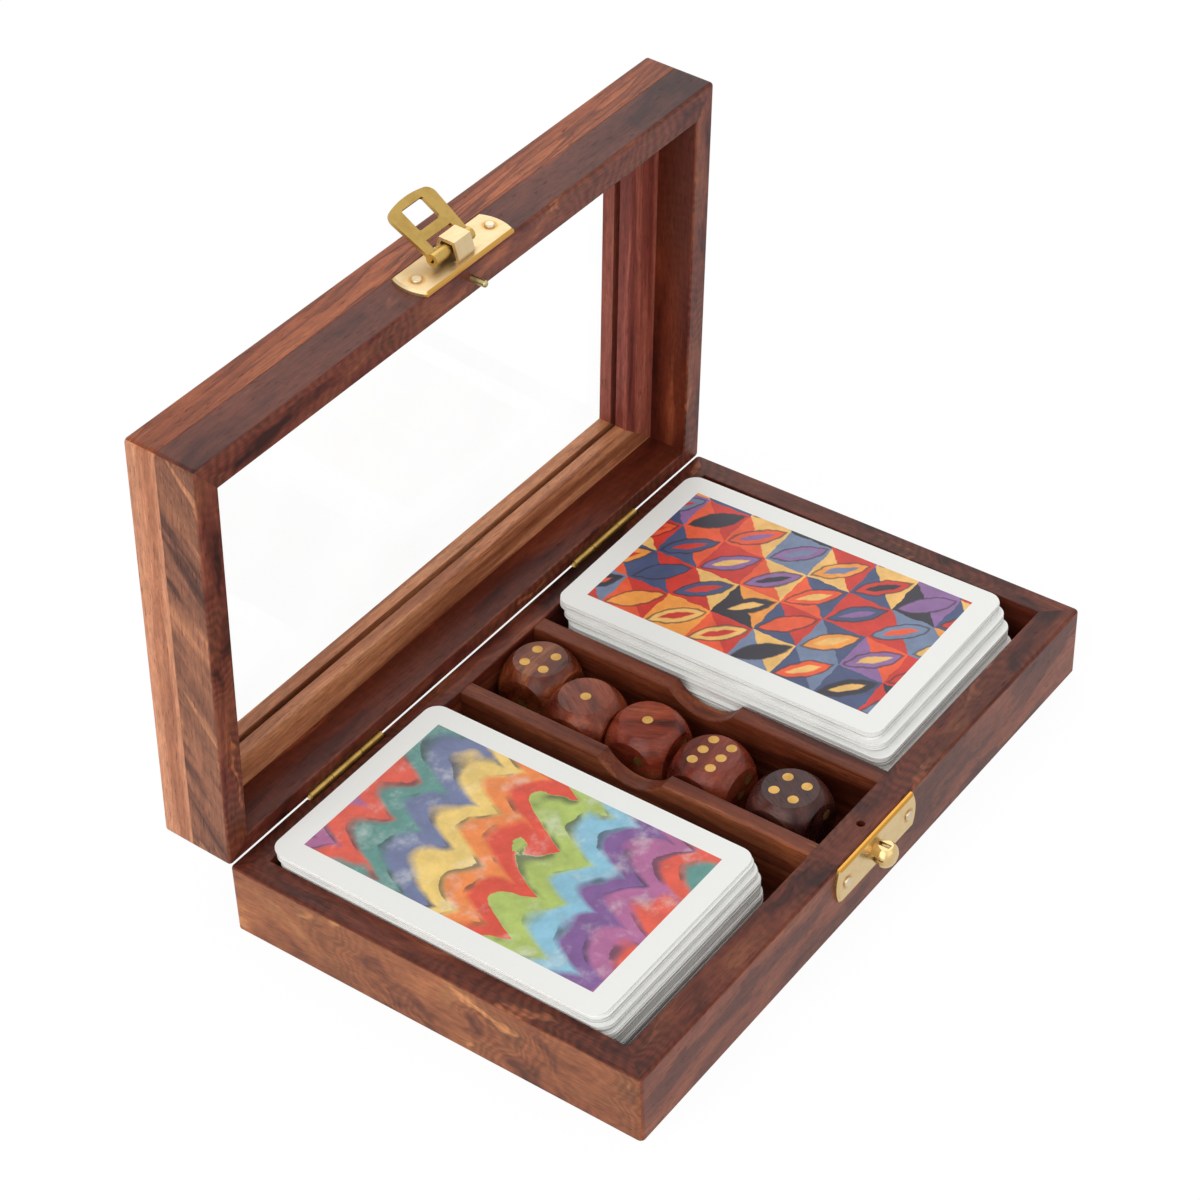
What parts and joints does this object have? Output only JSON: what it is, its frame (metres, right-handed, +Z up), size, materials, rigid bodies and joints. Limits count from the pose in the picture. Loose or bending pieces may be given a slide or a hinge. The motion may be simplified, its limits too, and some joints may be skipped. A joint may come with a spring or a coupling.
{
  "type": "dice box with hinged lid",
  "caption": "Low mitred rosewood games box with a glass-windowed hinged lid, a brass hasp, and compartments that hold two decks of cards and a row of dice.",
  "frame": {"origin": "centre of the tray's underside, on the surface that it stands on", "axes": "+X along the hinge to the right, +Y towards the hinge side, -Y is the clasp side, +Z up"},
  "size_m": [0.178, 0.133, 0.1386],
  "materials": {
    "rosewood": "oiled",
    "light_rosewood": "oiled",
    "die_wood": "polished",
    "brass": "polished",
    "glass": "clear",
    "card": "coated card"
  },
  "bodies": {
    "tray": {"base_front_wall": "rosewood", "base_back_wall": "rosewood", "base_left_wall": "rosewood", "base_right_wall": "rosewood", "base_floor": "rosewood", "divider_left": "rosewood", "divider_right": "rosewood", "hinge_left_base_leaf": "brass", "hinge_right_base_leaf": "brass", "hinge_left_pin": "brass", "hinge_right_pin": "brass", "base_hinge_brads": "brass", "catch_plate": "brass", "catch_plate_nails": "brass"},
    "lid": {"lid_front_wall": "rosewood", "lid_back_wall": "rosewood", "lid_left_wall": "rosewood", "lid_right_wall": "rosewood", "lid_frame_front": "light_rosewood", "lid_frame_back": "light_rosewood", "lid_frame_left": "light_rosewood", "lid_frame_right": "light_rosewood", "glass_pane": "glass", "hinge_left_lid_leaf": "brass", "hinge_right_lid_leaf": "brass", "lid_hinge_brads": "brass", "hasp_plate": "brass", "hasp_plate_nails": "brass", "locating_pin": "brass"},
    "hasp": {"hasp_leaf": "brass"},
    "die_1": {"die_1": "die_wood", "die_1_pips": "brass"},
    "die_2": {"die_2": "die_wood", "die_2_pips": "brass"},
    "die_3": {"die_3": "die_wood", "die_3_pips": "brass"},
    "die_4": {"die_4": "die_wood", "die_4_pips": "brass"},
    "die_5": {"die_5": "die_wood", "die_5_pips": "brass"},
    "deck_left": {"deck_left_cards": "card", "deck_left_top_card": "card"},
    "deck_right": {"deck_right_cards": "card", "deck_right_top_card": "card"}
  },
  "joints": [
    {"name": "lid_hinge", "type": "hinge", "parent": "tray", "child": "lid", "pos_m": [0, 0.05395, 0.0188], "axis": [-1, 0, 0], "range_deg": [-87.2, 0]},
    {"name": "hasp_swing", "type": "hinge", "parent": "lid", "child": "hasp", "pos_m": [-0.0026, 0.0531, 0.13039], "axis": [-1, 0, 0], "range_deg": [-149.6, 22]},
    {"name": "die_1_lift", "type": "slide", "parent": "tray", "child": "die_1", "axis": [0, 0, 1], "range_m": [0, 0.03]},
    {"name": "die_2_lift", "type": "slide", "parent": "tray", "child": "die_2", "axis": [0, 0, 1], "range_m": [0, 0.03]},
    {"name": "die_3_lift", "type": "slide", "parent": "tray", "child": "die_3", "axis": [0, 0, 1], "range_m": [0, 0.03]},
    {"name": "die_4_lift", "type": "slide", "parent": "tray", "child": "die_4", "axis": [0, 0, 1], "range_m": [0, 0.03]},
    {"name": "die_5_lift", "type": "slide", "parent": "tray", "child": "die_5", "axis": [0, 0, 1], "range_m": [0, 0.03]},
    {"name": "deck_left_lift", "type": "slide", "parent": "tray", "child": "deck_left", "axis": [0, 0, 1], "range_m": [0, 0.04]},
    {"name": "deck_right_lift", "type": "slide", "parent": "tray", "child": "deck_right", "axis": [0, 0, 1], "range_m": [0, 0.04]}
  ]
}
